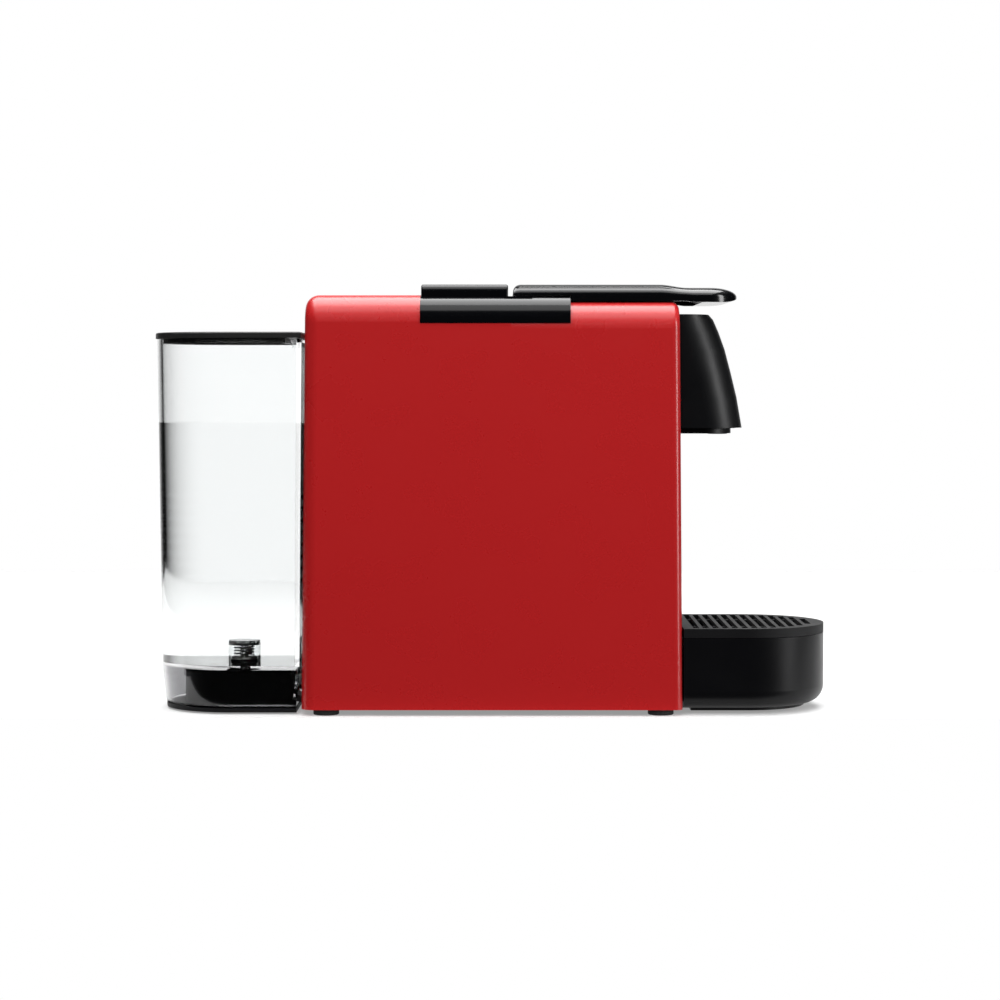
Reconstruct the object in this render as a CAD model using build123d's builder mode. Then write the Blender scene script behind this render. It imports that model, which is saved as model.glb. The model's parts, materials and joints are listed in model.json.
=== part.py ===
from build123d import *
import math
import os

# Compact capsule espresso machine.  Millimetres, +X to the front, +Y to the far side, +Z up,
# origin on the table under the centre of the bounding box.

# ---------------------------------------------------------------- driving dimensions
HALF_WIDTH = 41.6            # red casing
CASING_WALL = 2.2
CASING_BOTTOM = 3.0
CASING_REAR_TOP = 202.2
CASING_FRONT_TOP = 199.0
REAR_LOW, REAR_HIGH = -91.1, -88.7
FRONT_LOW, FRONT_HIGH = 92.6, 90.7
SHOULDER = 13.0              # radius of the long upper edges
REAR_ROUND, FRONT_ROUND = 6.5, 3.8

PANEL_X = (-33.5, 38.4)      # black control panel draped over the casing
PANEL_HALF = 42.0
PANEL_Z = (188.6, 201.5)
PANEL_WALL = 2.2
BLOCK_X = (-33.2, 8.6)       # raised block that holds the buttons
BLOCK_HALF = 33.0
BLOCK_TOP = 207.3
BUTTON_X, BUTTON_Y, BUTTON_RADIUS = -17.0, 16.0, 8.0
BUTTON_TRAVEL = 1.2

HINGE_X, HINGE_Z = 15.5, 202.5          # lever axis
LEVER_X = (11.0, 119.8)
LEVER_TOP = 207.5
LEVER_HALF = 33.0
LEVER_SKIN = 1.6
AXLE_RADIUS = 1.25
CRANK = 21.0                            # lever axis to drive pin
ARM_Y = (28.0, 30.8)

BREW_Z = 163.0                          # axis of the brew group
CAGE_X = (22.0, 50.0)
CAGE_RADIUS = 18.5
FRAME_Y = (21.5, 23.5)
RAIL_Y = (24.3, 27.3)
PLATE_X = (52.0, 58.0)                  # capsule support, lever closed

HEAD_HALF = 33.0
HEAD_Z = (138.3, 193.0)
NOZZLE_X = 112.0

TRAY_CENTRE, TRAY_RADIUS = 124.8, 40.0
TRAY_Z = (3.0, 37.4)
GRID_TOP = 42.0
CONTAINER_X, CONTAINER_HALF = (24.0, 89.6), 31.0
CONTAINER_Z = (10.4, 118.0)

TANK_HALF = 38.0
TANK_WALL = 2.5
TANK_REAR_X = -164.1
TANK_FRONT_X = -90.3
TANK_TOP = 181.4
TANK_FLOOR = (21.5, 23.5)
TANK_DRAFT = 0.61                       # degrees, narrower towards the base
VALVE_X = -121.0
LID_REAR_X, LID_FRONT_X = -164.8, -90.6
LID_Z = (181.6, 184.5)
LID_AXIS = (-93.4, 183.0)

FOOT_PLACES = [(-79.3, -33.0), (-79.3, 33.0), (82.4, -33.0), (82.4, 33.0)]
FOOT_RADIUS, FOOT_TOP = 6.25, 3.0
TANK_FOOT_X = -138.0
SCREW_PLACES = [(x, y) for x in (-60.0, 6.0) for y in (-33.8, 33.8)]
GLAND_X, GLAND_Z = -76.0, 16.0
PLINTH_Z = (3.0, 6.0)                   # floor of the chassis

PUMP_X, PUMP_Y = -56.0, -6.0            # upright axis of the pump
METER_X, METER_Y = -38.0, -18.0         # upright axis of the flow meter
BLOCK_HEATER_X = (-24.0, 8.0)
BLOCK_HEATER_Z = (60.0, 116.0)
DECK_Z = (124.0, 127.0)                 # shelf above the capsule container
SPRING_WIRE = 0.45

os.makedirs("parts", exist_ok=True)


# ---------------------------------------------------------------- shared shapes
def slab(x, y, z, corner=0.0, mode=Mode.ADD):
    """Straight block between two X, two Y and two Z values, with rounded upright corners."""
    with BuildSketch(Plane.XY.offset(z[0])) as plan:
        with Locations(((x[0] + x[1]) / 2, (y[0] + y[1]) / 2)):
            if corner:
                RectangleRounded(x[1] - x[0], y[1] - y[0], corner)
            else:
                Rectangle(x[1] - x[0], y[1] - y[0])
    extrude(plan.sketch, amount=z[1] - z[0], mode=mode)


def pair(x, y, z, mode=Mode.ADD):
    """The same block on the near and on the far side."""
    slab(x, y, z, mode=mode)
    slab(x, (-y[1], -y[0]), z, mode=mode)


def rod(start, along, radius, length, bore=0.0, mode=Mode.ADD):
    """Round bar or tube from a point along a direction."""
    with BuildSketch(Plane(origin=start, z_dir=along)) as ring:
        Circle(radius)
        if bore:
            Circle(bore, mode=Mode.SUBTRACT)
    extrude(ring.sketch, amount=length, mode=mode)


def side_plate(points, y, mode=Mode.ADD):
    """Plate drawn in side view and extruded from one Y value to another."""
    with BuildSketch(Plane(origin=(0, y[0], 0), x_dir=(1, 0, 0), z_dir=(0, -1, 0))) as outline:
        with BuildLine():
            Polyline(*points, close=True)
        make_face()
    extrude(outline.sketch, amount=y[0] - y[1], mode=mode)


def hose(points, radius, bore, bends):
    """Tube along straight runs joined by tangent arcs."""
    with BuildLine() as route:
        FilletPolyline(*points, radius=bends)
    start = route.line @ 0
    with BuildSketch(Plane(origin=start, z_dir=route.line % 0)) as section:
        Circle(radius)
        Circle(bore, mode=Mode.SUBTRACT)
    sweep(section.sketch, path=route.line)


def coil(place, radius, height, turns):
    """Compression spring standing on a place, as a stack of rings joined by a thin seam."""
    pitch = height / turns
    for turn in range(turns):
        with Locations((place[0], place[1], place[2] + pitch * (turn + 0.5))):
            Torus(radius, SPRING_WIRE)
    with Locations((place[0] + radius, place[1], place[2] + height / 2)):
        Cylinder(SPRING_WIRE * 0.8, height - pitch)


def d_outline(flat_x, centre_x, radius, mode=Mode.ADD):
    """Plan with one straight end at flat_x and a half round end about centre_x."""
    turn = 180 if centre_x > flat_x else -180
    with BuildLine() as edge:
        Polyline((centre_x, -radius), (flat_x, -radius), (flat_x, radius), (centre_x, radius))
        CenterArc((centre_x, 0), radius, -90, turn)
    make_face(edge.edges(), mode=mode)


def screw(place, along, head, length):
    """Pan head screw whose head rests on the place and whose shank runs along the direction."""
    rod(place, along, 1.4, length)
    back = Vector(*along) * -1
    rod(place, back, head, 1.6)


def finish(part, name):
    part.label = name
    export_step(part, f"parts/{name}.step")


# ---------------------------------------------------------------- casing
def casing_form(x_rear, x_front, top, inset, rounded_end, end_radius):
    """One half of the casing as a solid: drafted ends, rounded long edges, one rounded end loop."""
    low = CASING_BOTTOM - inset
    with BuildPart() as form:
        with BuildSketch(Plane.XZ):
            with BuildLine():
                Polyline(
                    (x_rear[0], low), (x_front[0], low), (x_front[1], top - inset),
                    (x_rear[1], top - inset), close=True,
                )
            make_face()
        extrude(amount=HALF_WIDTH - inset, both=True)
        fillet(form.faces().sort_by(Axis.Z)[-1].edges().filter_by(Axis.X), SHOULDER - inset)
        end = form.faces().sort_by(Axis.X)[rounded_end]
        loop = [edge for edge in end.edges() if edge.center().Z > low + 1]
        fillet(loop, end_radius - inset)
    return form.part


def casing_solid(inset):
    """The whole casing, rear and front halves meeting under the control panel."""
    rear = casing_form((REAR_LOW + inset, REAR_HIGH + inset), (10, 10), CASING_REAR_TOP, inset, 0, REAR_ROUND)
    front = casing_form((-10, -10), (FRONT_LOW - inset, FRONT_HIGH - inset), CASING_FRONT_TOP, inset, -1, FRONT_ROUND)
    return rear + front


with BuildPart() as housing:
    add(casing_solid(0))
    add(casing_solid(CASING_WALL), mode=Mode.SUBTRACT)
    slab(PANEL_X, (-50, 50), (PANEL_Z[0], 220), mode=Mode.SUBTRACT)
    pair((PANEL_X[0] - 0.1, PANEL_X[1] + 0.1), (37.0, HALF_WIDTH - CASING_WALL + 0.1), (182.0, 190.5))
    slab((60, 100), (-34.5, 34.5), (CASING_BOTTOM - 1, 193.6), mode=Mode.SUBTRACT)
    slab((-100, -80), (-34.0, 34.0), (9.0, 180.0), mode=Mode.SUBTRACT)
    slab((48.5, 83.5), (-21.2, 21.2), (190, 205), corner=3, mode=Mode.SUBTRACT)
    slab((-100, -80), (-10.4, 10.4), (CASING_BOTTOM - 1, 12.0), mode=Mode.SUBTRACT)
    for x, y in SCREW_PLACES:
        wall_y = math.copysign(HALF_WIDTH - CASING_WALL + 0.1, y)
        slab((x - 2, x + 2), tuple(sorted((y, wall_y))), (6.2, 20.0))
        rod((x, y, 6.2), (0, 0, 1), 3.2, 13.8)
        rod((x, y, 6.2), (0, 0, 1), 1.45, 11.0, mode=Mode.SUBTRACT)
    rod((GLAND_X, 30, GLAND_Z), (0, 1, 0), 6.8, 20, mode=Mode.SUBTRACT)
finish(housing.part, "housing")

with BuildPart() as rear_panel:
    slab((-86.4, -84.6), (-36.3, 36.3), (6.3, 183.0))
    slab((-88.8, -86.4), (-33.6, 33.6), (9.4, 179.6))
    slab((-95, -80), (-9, 9), (6.0, 20.0), mode=Mode.SUBTRACT)
    for level in range(8):
        slab((-95, -80), (-22, 22), (60 + level * 6, 62.5 + level * 6), mode=Mode.SUBTRACT)
finish(rear_panel.part, "rear_panel")

with BuildPart() as front_panel:
    slab((86.6, 89.6), (-34.2, 34.2), (6.3, 134.6))
    slab((80, 95), (-CONTAINER_HALF - 0.6, CONTAINER_HALF + 0.6), (5, CONTAINER_Z[1] + 0.8), mode=Mode.SUBTRACT)
    slab((86.5, 95), (-36, 36), (5, 18.4), mode=Mode.SUBTRACT)
    pair((84.0, 86.6), (34.0, 36.2), (6.3, 122.0))
finish(front_panel.part, "front_panel")

# ---------------------------------------------------------------- chassis
with BuildPart() as chassis_base:
    slab((-88.3, 88.4), (-39.0, 39.0), PLINTH_Z, corner=4.8)
    slab((-104, -88.0), (-9.5, 9.5), PLINTH_Z)
    for x, y in FOOT_PLACES:
        rod((x, y, 2.9), (0, 0, 1), 2.0, 2.1, mode=Mode.SUBTRACT)
    for x, y in SCREW_PLACES:
        rod((x, y, 2.9), (0, 0, 1), 1.6, 4, mode=Mode.SUBTRACT)
        rod((x, y, 2.9), (0, 0, 1), 3.4, 1.8, mode=Mode.SUBTRACT)
finish(chassis_base.part, "chassis_base")

with BuildPart() as feet:
    for x, y in FOOT_PLACES:
        rod((x, y, 0), (0, 0, 1), FOOT_RADIUS, FOOT_TOP)
        rod((x, y, FOOT_TOP), (0, 0, 1), 1.9, 1.8)
    rod((TANK_FOOT_X, 0, 0), (0, 0, 1), 6.0, 0.9)
    rod((TANK_FOOT_X, 0, 0.9), (0, 0, 1), 3.0, 2.6)
    fillet(feet.edges().filter_by(GeomType.CIRCLE).group_by(Axis.Z)[0], 0.6)
finish(feet.part, "feet")

FRAME_INSIDE = 36.6                     # the frame is four flat plates glued edge to face
FRAME_FOOT_Z = 6.1
CROSS_PLATE_X = (12.0, 14.0)
with BuildPart() as frame_sides:
    pair((-84.0, 84.0), (FRAME_INSIDE, FRAME_INSIDE + 1.6), (FRAME_FOOT_Z, 150.0))
    for x, y in SCREW_PLACES:
        slab((x - 4, x + 4), (y - 5, y + 5), (5.5, 22.0), mode=Mode.SUBTRACT)
    rod((GLAND_X, 30, GLAND_Z), (0, 1, 0), 6.9, 12, mode=Mode.SUBTRACT)
    for x in (-50, -20):
        pair((x - 11, x + 11), (36.0, 39.0), (40, 120), mode=Mode.SUBTRACT)
with BuildPart() as frame_deck:
    slab((CROSS_PLATE_X[0], 86.0), (-FRAME_INSIDE, FRAME_INSIDE), DECK_Z)
    slab((48.5, 82.5), (-20.0, 20.0), (120, 130), mode=Mode.SUBTRACT)
with BuildPart() as cross_plate:
    slab(CROSS_PLATE_X, (-FRAME_INSIDE, FRAME_INSIDE), (FRAME_FOOT_Z, DECK_Z[0]))
    slab((10.0, 16.0), (-12, 12), (30, 56), mode=Mode.SUBTRACT)
frame_plates = [plate for made in (frame_sides, frame_deck, cross_plate) for plate in made.part.solids()]
finish(Compound(frame_plates), "inner_frame")

with BuildPart() as cord_gland:
    rod((GLAND_X, 33.0, GLAND_Z), (0, 1, 0), 6.5, 9.0)
    rod((GLAND_X, 33.0, GLAND_Z), (0, 1, 0), 8.4, 3.4)
    rod((GLAND_X, 32.0, GLAND_Z), (0, 1, 0), 3.5, 12.0, mode=Mode.SUBTRACT)
finish(cord_gland.part, "cord_gland")

BOARD_Y = (33.0, 34.6)                  # power board
BOARD_SCREWS = [(x, z) for x in (-71.5, -8.5) for z in (28.5, 105.5)]
with BuildPart() as screws:
    for x, y in SCREW_PLACES:
        screw((x, y, 4.7), (0, 0, 1), 2.8, 10.0)
    for x, z in BOARD_SCREWS:
        screw((x, BOARD_Y[0] - 0.05, z), (0, 1, 0), 2.4, 3.4)
finish(screws.part, "screws")

# ---------------------------------------------------------------- control panel and buttons
TROUGH_X = (8.6, 18.2)                  # hollow in the panel where the rear of the lever turns
with BuildPart() as control_panel:
    with BuildSketch(Plane.YZ.offset(PANEL_X[0])) as outer:
        with Locations((0, (PANEL_Z[0] + PANEL_Z[1]) / 2)):
            Rectangle(2 * PANEL_HALF, PANEL_Z[1] - PANEL_Z[0])
        fillet(outer.vertices().group_by(Axis.Y)[-1], 11.0)
    extrude(amount=PANEL_X[1] - PANEL_X[0])
    slab(BLOCK_X, (-BLOCK_HALF, BLOCK_HALF), (PANEL_Z[1] - 1, BLOCK_TOP))
    block_top = control_panel.faces().sort_by(Axis.Z)[-1]
    fillet(block_top.edges().filter_by(Axis.X), 3.5)
    block_top = control_panel.faces().sort_by(Axis.Z)[-1]
    fillet(block_top.edges().filter_by(Axis.Y), 0.9)
    with BuildSketch(Plane.YZ.offset(PANEL_X[0] + PANEL_WALL)) as inner:
        inner_half, inner_top = PANEL_HALF - PANEL_WALL, PANEL_Z[1] - PANEL_WALL
        with Locations((0, (180 + inner_top) / 2)):
            Rectangle(2 * inner_half, inner_top - 180)
        fillet(inner.vertices().group_by(Axis.Y)[-1], 8.8)
    extrude(amount=PANEL_X[1] - PANEL_X[0] - 2 * PANEL_WALL, mode=Mode.SUBTRACT)
    slab(
        (BLOCK_X[0] + 2, BLOCK_X[1] - 2), (2 - BLOCK_HALF, BLOCK_HALF - 2), (190, BLOCK_TOP - 2),
        corner=2, mode=Mode.SUBTRACT,
    )
    slab((PANEL_X[0] - 1, PANEL_X[1] + 1), (-inner_half, inner_half), (185, 191.0), mode=Mode.SUBTRACT)
    slab((PANEL_X[0] - 1, PANEL_X[1] + 1), (-36.8, 36.8), (185, 195.8), mode=Mode.SUBTRACT)
    slab((TROUGH_X[0] - 2, TROUGH_X[1] + 2), (-35.4, 35.4), (193.6, PANEL_Z[1]))
    slab(TROUGH_X, (-33.6, 33.6), (195.4, 210), mode=Mode.SUBTRACT)
    pair((1.0, 30.0), (27.2, 31.6), (190, PANEL_Z[1] + 0.1), mode=Mode.SUBTRACT)
    pair((HINGE_X + 0.7, HINGE_X + 2.7), (18.0, 22.0), (195.0, HINGE_Z))
    for side in (-1, 1):
        rod((HINGE_X, side * 20 - 2, HINGE_Z), (0, 1, 0), 2.7, 4)
        rod((HINGE_X, side * 20 - 3, HINGE_Z), (0, 1, 0), AXLE_RADIUS + 0.08, 6, mode=Mode.SUBTRACT)
        rod((BUTTON_X, side * BUTTON_Y, 200), (0, 0, 1), BUTTON_RADIUS + 0.3, 10, mode=Mode.SUBTRACT)
finish(control_panel.part, "control_panel")

BUTTON_TOP = BLOCK_TOP + 0.1
for name, y in (("espresso_button", -BUTTON_Y), ("lungo_button", BUTTON_Y)):
    with BuildPart() as button:
        rod((BUTTON_X, y, BUTTON_TOP - 4.0), (0, 0, 1), BUTTON_RADIUS, 4.0)
        fillet(button.edges().group_by(Axis.Z)[-1], 0.6)
        rod((BUTTON_X, y, BUTTON_TOP - 4.6), (0, 0, 1), BUTTON_RADIUS + 1.2, 1.2)
        rod((BUTTON_X, y, 200.6), (0, 0, 1), 1.6, 3.0)
        slab((BUTTON_X - 10.5, BUTTON_X - 8), (y - 1.5, y + 1.5), (BUTTON_TOP - 4.6, BUTTON_TOP - 3.4))
    finish(button.part, name)

BOARD_TOP = 197.8
with BuildPart() as button_springs:
    for y in (-BUTTON_Y, BUTTON_Y):
        coil((BUTTON_X, y, BOARD_TOP), 2.9, BUTTON_TOP - 4.6 - BOARD_TOP, 5)
finish(button_springs.part, "button_springs")

with BuildPart() as button_board:
    slab((-29.0, 4.0), (-28.0, 28.0), (BOARD_TOP - 1.6, BOARD_TOP))
    for y in (-BUTTON_Y, BUTTON_Y):
        slab((BUTTON_X - 1.6, BUTTON_X + 1.6), (y - 1.6, y + 1.6), (BOARD_TOP, BOARD_TOP + 0.9))
        for lamp_y in (-5.5, 5.5):
            slab((-8.0, -6.0), (y + lamp_y - 1, y + lamp_y + 1), (BOARD_TOP, BOARD_TOP + 0.8))
    slab((-27.0, -23.0), (-6, 6), (BOARD_TOP - 5.0, BOARD_TOP - 1.6))
finish(button_board.part, "button_board")

# ---------------------------------------------------------------- lever
NOSE_ROUND = 17.0                       # plan radius of the lever's front corners
with BuildPart() as lever:
    with BuildSketch(Plane.YZ.offset(LEVER_X[0])) as front_view:
        with Locations((0, (199.3 + LEVER_TOP) / 2)):
            Rectangle(2 * LEVER_HALF, LEVER_TOP - 199.3)
        fillet(front_view.vertices().group_by(Axis.Y)[-1], 3.6)
    extrude(amount=LEVER_X[1] - LEVER_X[0])
    with BuildSketch(Plane.XZ):
        with BuildLine():
            Polyline(
                (LEVER_X[0] - 1, 202.2), (LEVER_X[0] - 1, 205.5), (LEVER_X[0] + 3.5, 210.0), (68.6, 210.0),
                (92.8, 206.2), (111.6, 205.8), (LEVER_X[1] - 0.6, 202.6), (LEVER_X[1] + 0.3, 201.2),
                (LEVER_X[1] - 1.2, 200.0), (111.0, 198.9), (111.0, 197.0), (38.9, 197.0), (38.9, 202.2), close=True,
            )
        make_face()
    extrude(amount=LEVER_HALF + 8, both=True, mode=Mode.INTERSECT)
    for side in (-1, 1):
        with BuildSketch(Plane.XY.offset(190)):
            corner = (LEVER_X[1] - NOSE_ROUND, side * (LEVER_HALF - NOSE_ROUND))
            with Locations((corner[0] + 10, corner[1] + side * 10)):
                Rectangle(20, 20)
            with Locations(corner):
                Circle(NOSE_ROUND, mode=Mode.SUBTRACT)
        extrude(amount=30, mode=Mode.SUBTRACT)
    with BuildSketch(Plane.XZ):
        with BuildLine():
            Polyline(
                (LEVER_X[0] + LEVER_SKIN, 190), (LEVER_X[0] + LEVER_SKIN, LEVER_TOP - LEVER_SKIN),
                (84.0, LEVER_TOP - LEVER_SKIN), (92.6, 204.5), (100.5, 204.2), (102.0, 190), close=True,
            )
        make_face()
    extrude(amount=LEVER_HALF - 2.0, both=True, mode=Mode.SUBTRACT)
finish(lever.part, "lever")

with BuildPart() as lever_arms:
    reach = CRANK / math.sqrt(2)
    pin = (HINGE_X - reach, HINGE_Z - reach)
    strip_top = LEVER_TOP - LEVER_SKIN
    for side in (-1, 1):
        y = ARM_Y if side > 0 else (-ARM_Y[1], -ARM_Y[0])
        side_plate([(HINGE_X, 201.9), (46.0, 201.9), (46.0, strip_top), (HINGE_X, strip_top)], y)
        rod((HINGE_X, y[0], HINGE_Z), (0, 1, 0), 2.9, y[1] - y[0])
        rod((pin[0], y[0], pin[1]), (0, 1, 0), 2.9, y[1] - y[0])
        side_plate(
            [(HINGE_X - 1.2, HINGE_Z + 1.2), (HINGE_X + 2, HINGE_Z - 2), (pin[0] + 2, pin[1] - 2),
             (pin[0] - 1.2, pin[1] + 1.2)],
            y,
        )
        rod((HINGE_X, y[0] - 1, HINGE_Z), (0, 1, 0), AXLE_RADIUS + 0.02, 6, mode=Mode.SUBTRACT)
        rod((pin[0], y[0] - 1, pin[1]), (0, 1, 0), AXLE_RADIUS + 0.02, 6, mode=Mode.SUBTRACT)
finish(lever_arms.part, "lever_arms")

with BuildPart() as lever_pins:
    rod((HINGE_X, -ARM_Y[1] - 0.1, HINGE_Z), (0, 1, 0), AXLE_RADIUS, 2 * ARM_Y[1] + 0.2)
    for side in (-1, 1):
        rod((pin[0], side * 24.4, pin[1]), (0, side, 0), AXLE_RADIUS, ARM_Y[1] - 24.4)
finish(lever_pins.part, "lever_pins")

# ---------------------------------------------------------------- brew group
with BuildPart() as brew_frame:
    pair((14.0, 90.0), FRAME_Y, (DECK_Z[1], 177.4))
    pair((28.0, 46.0), FRAME_Y, (177.0, 194.0))
    pair((28.0, 46.0), (FRAME_Y[0], 27.5), (192.4, 194.0))
    pair((14.0, 90.0), (FRAME_Y[1] - 0.1, 27.5), (175.4, 177.4))
    slab((14.0, 19.0), (-FRAME_Y[1], FRAME_Y[1]), (DECK_Z[1], 177.4))
    rod((10, 0, BREW_Z), (1, 0, 0), 6.2, 12, mode=Mode.SUBTRACT)
    slab((10, 21), (-14, 14), (DECK_Z[1] + 5, 150), mode=Mode.SUBTRACT)
    pair((60.0, 96.0), (20, 25), (DECK_Z[1] + 8, 146), mode=Mode.SUBTRACT)
    pair((84.0, 96.0), (20, 25), (DECK_Z[1] - 1, 146), mode=Mode.SUBTRACT)
finish(brew_frame.part, "brew_frame")

with BuildPart() as brew_cage:
    with BuildSketch(Plane(origin=(19.1, 0, BREW_Z), z_dir=(1, 0, 0))) as rear_disc:
        Circle(CAGE_RADIUS)
    extrude(amount=CAGE_X[1] - 19.1)
    with BuildSketch(Plane(origin=(26.0, 0, BREW_Z), z_dir=(1, 0, 0))):
        Circle(12.4)
    with BuildSketch(Plane(origin=(CAGE_X[1] + 0.1, 0, BREW_Z), z_dir=(1, 0, 0))):
        Circle(15.3)
    loft(mode=Mode.SUBTRACT)
    rod((CAGE_X[1] - 2.2, 0, BREW_Z), (1, 0, 0), 17.4, 4, mode=Mode.SUBTRACT)
    rod((18, 0, BREW_Z), (1, 0, 0), 6.1, 6.0, mode=Mode.SUBTRACT)
    rod((18, 0, BREW_Z), (1, 0, 0), 1.5, 10, mode=Mode.SUBTRACT)
    with Locations(Plane(origin=(30, 0, BREW_Z), z_dir=(1, 0, 0))):
        with PolarLocations(CAGE_RADIUS + 0.6, 12):
            Box(2.0, 1.6, 22, mode=Mode.SUBTRACT)
finish(brew_cage.part, "brew_cage")

with BuildPart() as needle_plate:
    rod((26.05, 0, BREW_Z), (1, 0, 0), 11.6, 1.0)
    with Locations(Plane(origin=(29.0, 0, BREW_Z), z_dir=(1, 0, 0))):
        with PolarLocations(6.0, 3):
            Cone(1.3, 0.2, 4.0)
    rod((26, 0, BREW_Z), (1, 0, 0), 1.2, 2, mode=Mode.SUBTRACT)
finish(needle_plate.part, "needle_plate")

with BuildPart() as cage_seal:
    rod((CAGE_X[1] - 2.1, 0, BREW_Z), (1, 0, 0), 17.3, 3.2, bore=15.5)
finish(cage_seal.part, "cage_seal")

with BuildPart() as carriage:
    rail_rear = pin[0] - 5.0
    pair((rail_rear, PLATE_X[1]), RAIL_Y, (178.0, 192.0))
    slab(PLATE_X, (-RAIL_Y[1], RAIL_Y[1]), (178.0, 190.0))
    slab(PLATE_X, (-20.5, 20.5), (150.0, 178.2))
    rod((PLATE_X[0], 0, BREW_Z - 9.0), (1, 0, 0), 3.2, PLATE_X[1] - PLATE_X[0] + 28.0)
    rod((PLATE_X[0] - 1, 0, BREW_Z - 9.0), (1, 0, 0), 2.1, 38.0, mode=Mode.SUBTRACT)
    slab((PLATE_X[1] + 18, PLATE_X[1] + 26), (-1.6, 1.6), (148, BREW_Z - 9.0), mode=Mode.SUBTRACT)
    rod((PLATE_X[0] - 1, 0, BREW_Z), (1, 0, 0), 14.2, 3.2, mode=Mode.SUBTRACT)
    pair((pin[0] - 2.1, pin[0] + 2.1), (24, 28), (179.8, 189.6), mode=Mode.SUBTRACT)
    pair((10, 46), (24, 28), (183.0, 187.0), mode=Mode.SUBTRACT)
finish(carriage.part, "carriage")

with BuildPart() as capsule_plate:
    rod((PLATE_X[0] + 0.3, 0, BREW_Z), (1, 0, 0), 14.0, 1.6)
    with BuildSketch(Plane(origin=(PLATE_X[0] + 0.3, 0, BREW_Z), z_dir=(-1, 0, 0))):
        with GridLocations(3.4, 3.4, 6, 6):
            Rectangle(1.6, 1.6)
    extrude(amount=0.9, taper=18)
    with BuildSketch(Plane(origin=(PLATE_X[0] + 2.0, 0, BREW_Z), z_dir=(-1, 0, 0))):
        with GridLocations(3.4, 3.4, 5, 5):
            Circle(0.4)
    extrude(amount=3, mode=Mode.SUBTRACT)
finish(capsule_plate.part, "capsule_plate")

with BuildPart() as capsule_chute:
    slab((47.0, 85.0), (-22.6, 22.6), (CASING_FRONT_TOP - CASING_WALL - 1.4, CASING_FRONT_TOP - CASING_WALL - 0.1), corner=4)
    slab((48.8, 83.2), (-20.9, 20.9), (191.2, CASING_FRONT_TOP - 0.3), corner=3)
    slab((50.4, 81.6), (-19.4, 19.4), (190, 200), corner=2, mode=Mode.SUBTRACT)
finish(capsule_chute.part, "capsule_chute")

with BuildPart() as outlet_funnel:
    side_plate([(82.6, 148.4), (118.0, 148.4), (118.0, 142.4), (104.0, 142.4), (82.6, 145.6)], (-9.6, 9.6))
    side_plate([(84.0, 149.0), (116.6, 149.0), (116.6, 144.0), (104.2, 144.0), (84.0, 147.0)], (-8.0, 8.0), Mode.SUBTRACT)
    rod((NOZZLE_X, 0, 140), (0, 0, 1), 2.6, 6, mode=Mode.SUBTRACT)
    pair((82.6, 90.4), (9.5, 21.4), (144.4, 146.4))
finish(outlet_funnel.part, "outlet_funnel")

with BuildPart() as nozzle:
    rod((NOZZLE_X, 0, 134.9), (0, 0, 1), 5.3, 7.4)
    rod((NOZZLE_X, 0, 141.0), (0, 0, 1), 6.6, 1.3)
    fillet(nozzle.edges().group_by(Axis.Z)[0], 0.8)
    with BuildSketch(Plane.XY.offset(134.8)):
        with Locations((NOZZLE_X, 0)):
            Circle(3.6)
    with BuildSketch(Plane.XY.offset(142.4)):
        with Locations((NOZZLE_X, 0)):
            Circle(2.6)
    loft(mode=Mode.SUBTRACT)
finish(nozzle.part, "nozzle")

# ---------------------------------------------------------------- brewing head cover
HEAD_PROFILE = [(138.3, 122.6), (153.1, 120.0), (165.4, 117.0), (176.3, 114.1), (184.6, 111.1), (190.6, 108.4), (193.0, 106.0)]


def head_form(inset, rear, low_extra, top_cut):
    """Lofted nose: straight sides, rounded front corners, front leaning back towards the top."""
    with BuildPart() as form:
        for level, front in HEAD_PROFILE:
            height = min(level, HEAD_Z[1] - top_cut) - (low_extra if level == HEAD_PROFILE[0][0] else 0)
            with BuildSketch(Plane.XY.offset(height)) as outline:
                width = 2 * (HEAD_HALF - inset)
                depth = front - inset - rear
                with Locations((rear + depth / 2, 0)):
                    Rectangle(depth, width)
                fillet(outline.vertices().group_by(Axis.X)[-1], min(18.0, depth - 2) - inset)
        loft(ruled=True)
    return form.part


with BuildPart() as head_cover:
    add(head_form(0, 89.0, 0, 0))
    add(head_form(2.0, 80.0, 1.0, 2.0), mode=Mode.SUBTRACT)
finish(head_cover.part, "head_cover")

with BuildPart() as head_base:
    with BuildSketch(Plane.XY.offset(135.6)) as lip:
        with Locations(((90.2 + 117.2) / 2, 0)):
            Rectangle(117.2 - 90.2, 58.0)
        fillet(lip.vertices().group_by(Axis.X)[-1], 14.0)
    extrude(amount=2.6)
    with BuildSketch(Plane.XY.offset(138.1)) as plug:
        with Locations(((90.2 + 119.6) / 2, 0)):
            Rectangle(119.6 - 90.2, 61.0)
        fillet(plug.vertices().group_by(Axis.X)[-1], 15.0)
    extrude(amount=2.4)
    rod((NOZZLE_X, 0, 130), (0, 0, 1), 5.5, 20, mode=Mode.SUBTRACT)
finish(head_base.part, "head_base")

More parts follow.
